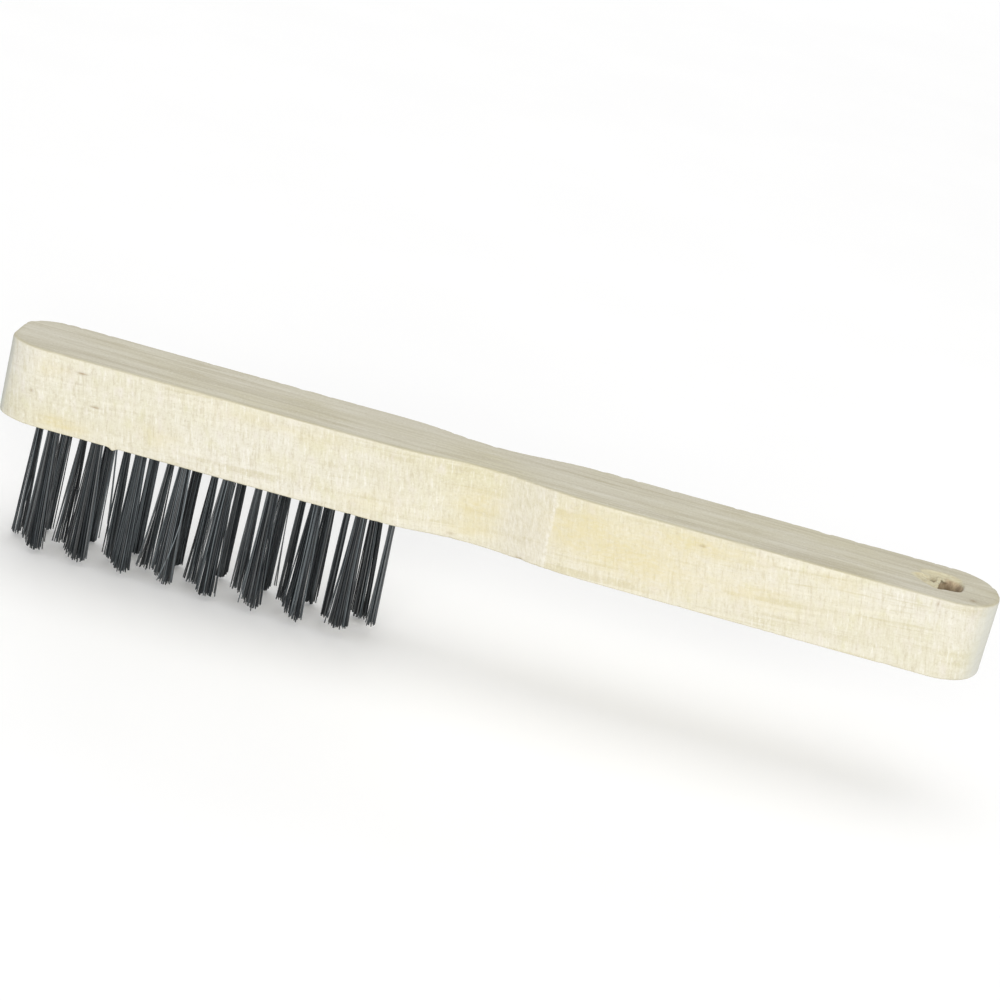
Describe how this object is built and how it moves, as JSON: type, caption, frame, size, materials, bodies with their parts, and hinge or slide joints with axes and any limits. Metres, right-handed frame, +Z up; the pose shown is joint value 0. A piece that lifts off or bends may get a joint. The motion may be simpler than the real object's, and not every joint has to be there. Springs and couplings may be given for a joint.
{
  "type": "wire brush",
  "caption": "Hand wire brush: a straight one-piece wooden block with a waisted neck and a hanging hole, and staggered rows of steel wire tufts under the head.",
  "frame": {"origin": "centre of the footprint, on the plane of the wire tips", "axes": "+X along the block from the head to the hanging hole, +Z up out of the back of the block, wires pointing down"},
  "size_m": [0.29, 0.0296, 0.062],
  "materials": {
    "wood": "bare sanded pale hardwood with open grain",
    "wire_steel": "dull dark blue-grey carbon steel wire",
    "anchor_steel": "bright flat steel wire"
  },
  "bodies": {
    "root": {"back_row_anchor_1": "anchor_steel", "back_row_anchor_2": "anchor_steel", "back_row_anchor_3": "anchor_steel", "back_row_anchor_4": "anchor_steel", "back_row_anchor_5": "anchor_steel", "back_row_anchor_6": "anchor_steel", "back_row_anchor_7": "anchor_steel", "back_row_anchor_8": "anchor_steel", "back_row_tuft_1": "wire_steel", "back_row_tuft_2": "wire_steel", "back_row_tuft_3": "wire_steel", "back_row_tuft_4": "wire_steel", "back_row_tuft_5": "wire_steel", "back_row_tuft_6": "wire_steel", "back_row_tuft_7": "wire_steel", "back_row_tuft_8": "wire_steel", "front_row_anchor_1": "anchor_steel", "front_row_anchor_2": "anchor_steel", "front_row_anchor_3": "anchor_steel", "front_row_anchor_4": "anchor_steel", "front_row_anchor_5": "anchor_steel", "front_row_anchor_6": "anchor_steel", "front_row_anchor_7": "anchor_steel", "front_row_anchor_8": "anchor_steel", "front_row_tuft_1": "wire_steel", "front_row_tuft_2": "wire_steel", "front_row_tuft_3": "wire_steel", "front_row_tuft_4": "wire_steel", "front_row_tuft_5": "wire_steel", "front_row_tuft_6": "wire_steel", "front_row_tuft_7": "wire_steel", "front_row_tuft_8": "wire_steel", "middle_row_anchor_1": "anchor_steel", "middle_row_anchor_2": "anchor_steel", "middle_row_anchor_3": "anchor_steel", "middle_row_anchor_4": "anchor_steel", "middle_row_anchor_5": "anchor_steel", "middle_row_anchor_6": "anchor_steel", "middle_row_anchor_7": "anchor_steel", "middle_row_anchor_8": "anchor_steel", "middle_row_anchor_9": "anchor_steel", "middle_row_tuft_1": "wire_steel", "middle_row_tuft_2": "wire_steel", "middle_row_tuft_3": "wire_steel", "middle_row_tuft_4": "wire_steel", "middle_row_tuft_5": "wire_steel", "middle_row_tuft_6": "wire_steel", "middle_row_tuft_7": "wire_steel", "middle_row_tuft_8": "wire_steel", "middle_row_tuft_9": "wire_steel", "wooden_body": "wood"}
  },
  "joints": []
}
